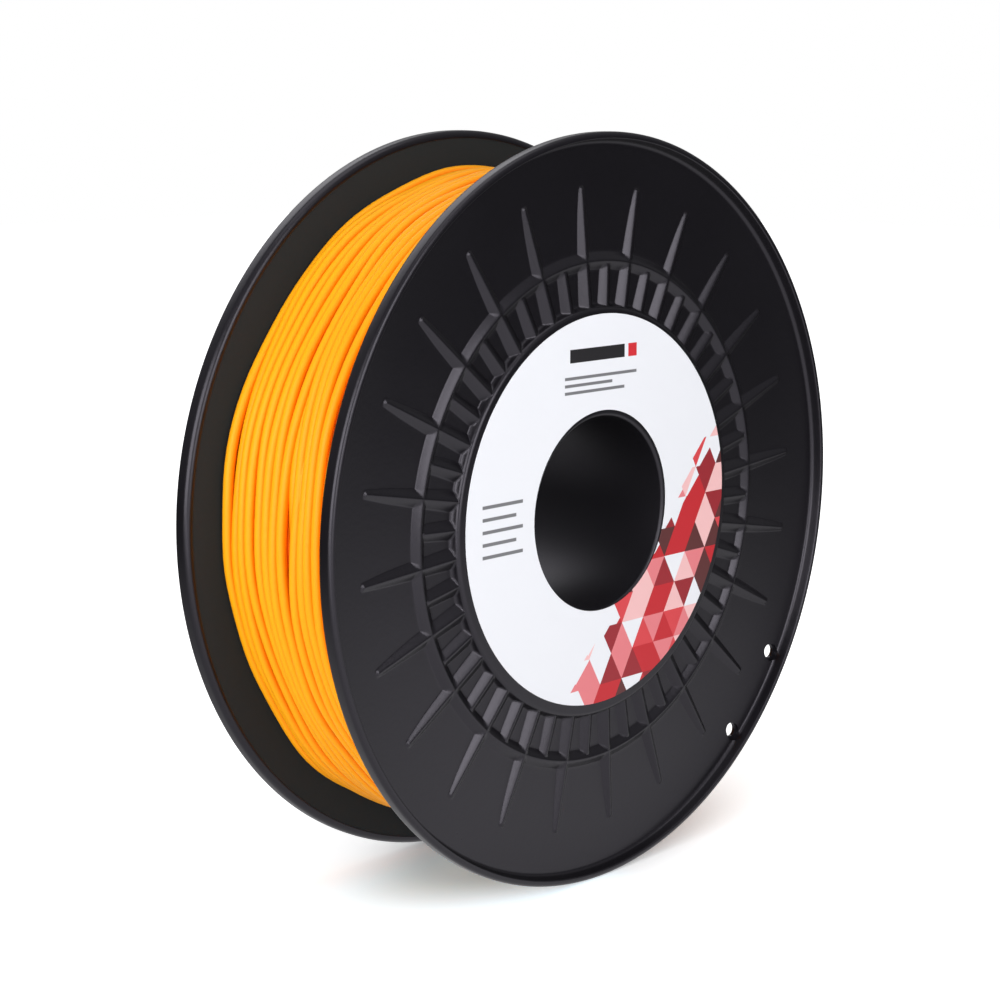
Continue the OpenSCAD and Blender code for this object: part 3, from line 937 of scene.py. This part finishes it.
def label_print():
    """White film with a plain mark, thin bars and a field of coloured triangles."""
    material, g, shader = new_material("printed_label_film")
    place = g.make("ShaderNodeTexCoord")["Object"]
    x, _, z = g.split(place)
    x, z = x / MM, z / MM

    def bar(left, right, bottom, top):
        return g.inside(x, left, right, BAR_BLUR) * g.inside(z, bottom, top, BAR_BLUR)

    # Rows of triangles: a slanted grid, each of its cells cut in two
    v = z / (FACET_SIDE * math.sqrt(3) / 2)
    u = x / FACET_SIDE - v * 0.5
    cell_u, cell_v = g.math("FLOOR", u), g.math("FLOOR", v)
    half = g.math("GREATER_THAN", (u - cell_u) + (v - cell_v), 1.0)
    chance = g.make("ShaderNodeTexWhiteNoise", in_0=g.join(cell_u, cell_v, half * 3.0))["Value"]
    facet = g.make("ShaderNodeValToRGB", {"stops": FACET_COLORS}, Fac=chance)["Color"]
    reach = x * FIELD_WAY[0] + z * FIELD_WAY[1] + (chance - 0.5) * FIELD_RAGGED
    color = g.mix(g.math("GREATER_THAN", reach, FIELD_START), LABEL_WHITE, facet)

    black = bar(*TITLE_BAR)
    for sides in THIN_BARS:
        black = g.high(black, bar(*sides) * BAR_TONE)
    color = g.mix(black, color, LABEL_BLACK)
    color = g.mix(bar(*RED_BLOCK), color, LABEL_RED)
    grain = noise_on(g, place, scale=1500.0, detail=2.0)
    bump = fine_bump(g, grain, strength=0.02, distance=0.0001)
    set_inputs(g, shader, Base_Color=color, Roughness=0.42 + grain * 0.05, Normal=bump)
    return material


# ---------------------------------------------------------------- camera, light and floor

CAMERA_PLACE, CAMERA_LENS, SENSOR_WIDTH = (-0.43825, -0.39533, 0.10507), 78.99, 36.0
CAMERA_YAW, CAMERA_PITCH = math.radians(-47.198), math.radians(10.049)

NOTHING, WHITE = (0.0, 0.0, 0.0), (1.0, 1.0, 1.0)

# Tones of the room, low and high as it is mirrored, and as it lights everything else
ROOM_LOW, ROOM_HIGH, ROOM_FILL = (0.15, 0.15, 0.155), (0.28, 0.28, 0.29), (0.38, 0.38, 0.39)

# Tones of the patches of light that are only mirrored
CEILING_PATCH, TALL_PATCH, REAR_PATCH = (1.9, 1.9, 1.95), (3.0, 3.0, 3.05), WHITE

# Where those patches fade in, by the way a ray goes: the one behind the reel lies round REAR_WAY,
# and the tall one is seen through a window across y = -1, which leans with its height
REAR_WAY, REAR_FADE = (0.72, 0.67, -0.17), (0.88, 1.0)
CEILING_AHEAD, CEILING_HEIGHT, CEILING_RIGHT = (0.4, 0.6), (0.4, 0.55), (-0.35, 0.05)
TALL_LEAN, TALL_SIDES, TALL_ENDS, TALL_FADE = 0.6, (-0.62, -0.32, 0.06), (-0.1, 0.95, 0.1), (0.2, 0.4)

# Tones of the floor as it is mirrored, and of its shadow, partly painted, whose front part is painted
# bluer and lighter to cancel the orange light the filament throws there
FLOOR_DIM, FLOOR_POOL, FLOOR_PATCH = (0.05, 0.05, 0.053), (1.25, 1.25, 1.27), (6.5, 6.5, 6.8)
SHADOW_UNDER, SHADOW_UNDER_FRONT = (0.08, 0.08, 0.08), (0.1, 0.12, 0.12)
SHADOW_BESIDE, SHADOW_BESIDE_FRONT = (0.56, 0.56, 0.56), (0.68, 0.68, 0.68)
FLOOR_BASE, FLOOR_BASE_BOUNCE_TINTED = (0.8, 0.8, 0.8), (0.57, 0.8, 0.95)

# Metres: half the floor, the shadow's half sizes, what they gain to the right, how far back it lies,
# and where that gain and its front part begin and end
FLOOR_HALF = 3.0
SHADOW_HALF, SHADOW_GAIN, SHADOW_BACK = (0.055, 0.03), (0.02, 0.008), 0.005
GAIN_SIDE, FRONT_SIDE, FRONT_DEPTH = (-0.01, 0.01), (-0.012, 0.012), (0.03, 0.012)

# Where the shadow's tones change, in its half sizes
UNDER_EDGE, FRONT_EDGE, BESIDE_EDGE = (0.5, 1.3), (1.0, 1.7), (1.1, 3.0)

# The mirrored pools of light on the floor: place and spread
LIGHT_POOL, LIGHT_PATCH = (-0.1, -0.3, 0.42), (-0.55, -0.42, 0.17)

# Lamps: place, width and height, and power
LAMPS = {
    "left_softbox": ((-1.4, -0.38, 0.28), (1.25, 1.25), 22),
    "front_softbox": ((-0.12, -0.52, 0.16), (0.32, 0.44), 1.27),
    "top_softbox": ((0.1, -0.2, 1.5), (1.2, 1.2), 5),
}


def make_camera():
    """Seen from the left and a little above, 600 mm away."""
    back = Vector((
        math.sin(CAMERA_YAW) * math.cos(CAMERA_PITCH),
        -math.cos(CAMERA_YAW) * math.cos(CAMERA_PITCH),
        math.sin(CAMERA_PITCH),
    ))
    data = bpy.data.cameras.new("camera")
    data.lens = CAMERA_LENS
    data.sensor_width = SENSOR_WIDTH
    camera = add_object("camera", data)
    camera.location = CAMERA_PLACE
    camera.rotation_euler = (-back).to_track_quat("-Z", "Y").to_euler()
    bpy.context.scene.camera = camera


def area_light(name, where, size, power):
    """A rectangular lamp that points at the reel's middle."""
    data = bpy.data.lights.new(name, "AREA")
    data.shape = "RECTANGLE"
    data.size, data.size_y = size
    data.energy = power
    light = add_object(name, data)
    light.location = where
    light.rotation_euler = (-Vector(where)).to_track_quat("-Z", "Y").to_euler()


def make_world():
    """White behind the object, and darker surroundings in what it reflects."""
    world = bpy.data.worlds.new("studio")
    world.use_nodes = True
    tree = world.node_tree
    tree.nodes.clear()
    g = Graph(tree)
    path = g.make("ShaderNodeLightPath")
    seen = g.high(path["Is Camera Ray"], path["Is Transmission Ray"])
    direction = g.make("ShaderNodeTexCoord")["Generated"]
    right, ahead, height = g.split(direction)
    mirrored = g.mix(g.step(height, 0.0, 0.6), ROOM_LOW, ROOM_HIGH)
    mirrored = g.mix(g.step(g.dot(direction, REAR_WAY), *REAR_FADE), mirrored, REAR_PATCH)
    over = g.step(ahead, *CEILING_AHEAD) * g.step(height, *CEILING_HEIGHT) * g.step(right, *CEILING_RIGHT)
    mirrored = g.mix(over, mirrored, CEILING_PATCH)
    near = g.high(-ahead, 0.001)
    lean = right / near - height / near * TALL_LEAN
    tall = g.inside(lean, *TALL_SIDES) * g.inside(height / near, *TALL_ENDS)
    mirrored = g.mix(tall * g.step(-ahead, *TALL_FADE), mirrored, TALL_PATCH)
    fill = g.mix(path["Is Glossy Ray"], ROOM_FILL, mirrored)
    color = g.mix(seen, fill, WHITE)
    shader = g.make("ShaderNodeBackground", Color=color, Strength=1.0)[0]
    out = tree.nodes.new("ShaderNodeOutputWorld")
    tree.links.new(shader.socket, out.inputs[0])
    bpy.context.scene.world = world


def make_floor():
    """White to the camera but for the shadow, partly painted as glow, and dim with two painted pools of
    light in reflections.
    """
    mesh = bpy.data.meshes.new("floor")
    half, height = FLOOR_HALF, -SPOOL_R * MM
    corners = [(-half, -half, height), (half, -half, height), (half, half, height), (-half, half, height)]
    mesh.from_pydata(corners, [], [(0, 1, 2, 3)])
    floor = add_object("floor", mesh)
    material, g, shader = new_material("floor")
    path = g.make("ShaderNodeLightPath")
    x, y, _ = g.split(g.make("ShaderNodeTexCoord")["Object"])

    def pool(middle_x, middle_y, spread):
        """A soft round pool, 1 at its middle."""
        dx, dy = x - middle_x, y - middle_y
        return g.math("EXPONENT", (dx * dx + dy * dy) * (-1 / spread ** 2))

    # Painted shadow: to the camera the floor glows least under the reel and fades to white around it
    right = g.step(x, *GAIN_SIDE)
    wide = x / (SHADOW_HALF[0] + SHADOW_GAIN[0] * right)
    deep = (y - SHADOW_BACK) / (SHADOW_HALF[1] + SHADOW_GAIN[1] * right)
    away = g.root(wide * wide + deep * deep)
    # Painted light: the shadow's front part, where the filament's orange light falls, gets a bluer base
    # and more glow to cancel that light
    front = g.step(y, *FRONT_DEPTH) * (1 - g.step(x, *FRONT_SIDE)) * (1 - g.step(away, *FRONT_EDGE))
    under = g.mix(front, SHADOW_UNDER, SHADOW_UNDER_FRONT)
    beside = g.mix(front, SHADOW_BESIDE, SHADOW_BESIDE_FRONT)
    seen = g.mix(g.step(away, *UNDER_EDGE), under, beside)
    seen = g.mix(g.step(away, *BESIDE_EDGE), seen, WHITE)
    mirrored = g.mix(pool(*LIGHT_POOL), FLOOR_DIM, FLOOR_POOL)
    mirrored = g.mix(pool(*LIGHT_PATCH), mirrored, FLOOR_PATCH)
    glow = g.mix(path["Is Camera Ray"], NOTHING, seen)
    glow = g.mix(path["Is Glossy Ray"], glow, mirrored)
    base = g.mix(path["Is Camera Ray"] * front, FLOOR_BASE, FLOOR_BASE_BOUNCE_TINTED)
    base = g.mix(path["Is Glossy Ray"], base, NOTHING)
    set_inputs(g, shader, Base_Color=base, Roughness=0.9, Specular_IOR_Level=0.0,
               Emission_Color=glow, Emission_Strength=1.0)
    floor.data.materials.append(material)


bpy.context.scene.view_settings.view_transform = "Standard"
make_camera()
make_world()
make_floor()
for lamp, (where, size, power) in LAMPS.items():
    area_light(lamp, where, size, power)

black = black_plastic()
make_flanges(black)
turned = turned_tree(black)
make_core(turned, black)
make_label(turned, label_print())
make_filament(turned, filament_plastic())
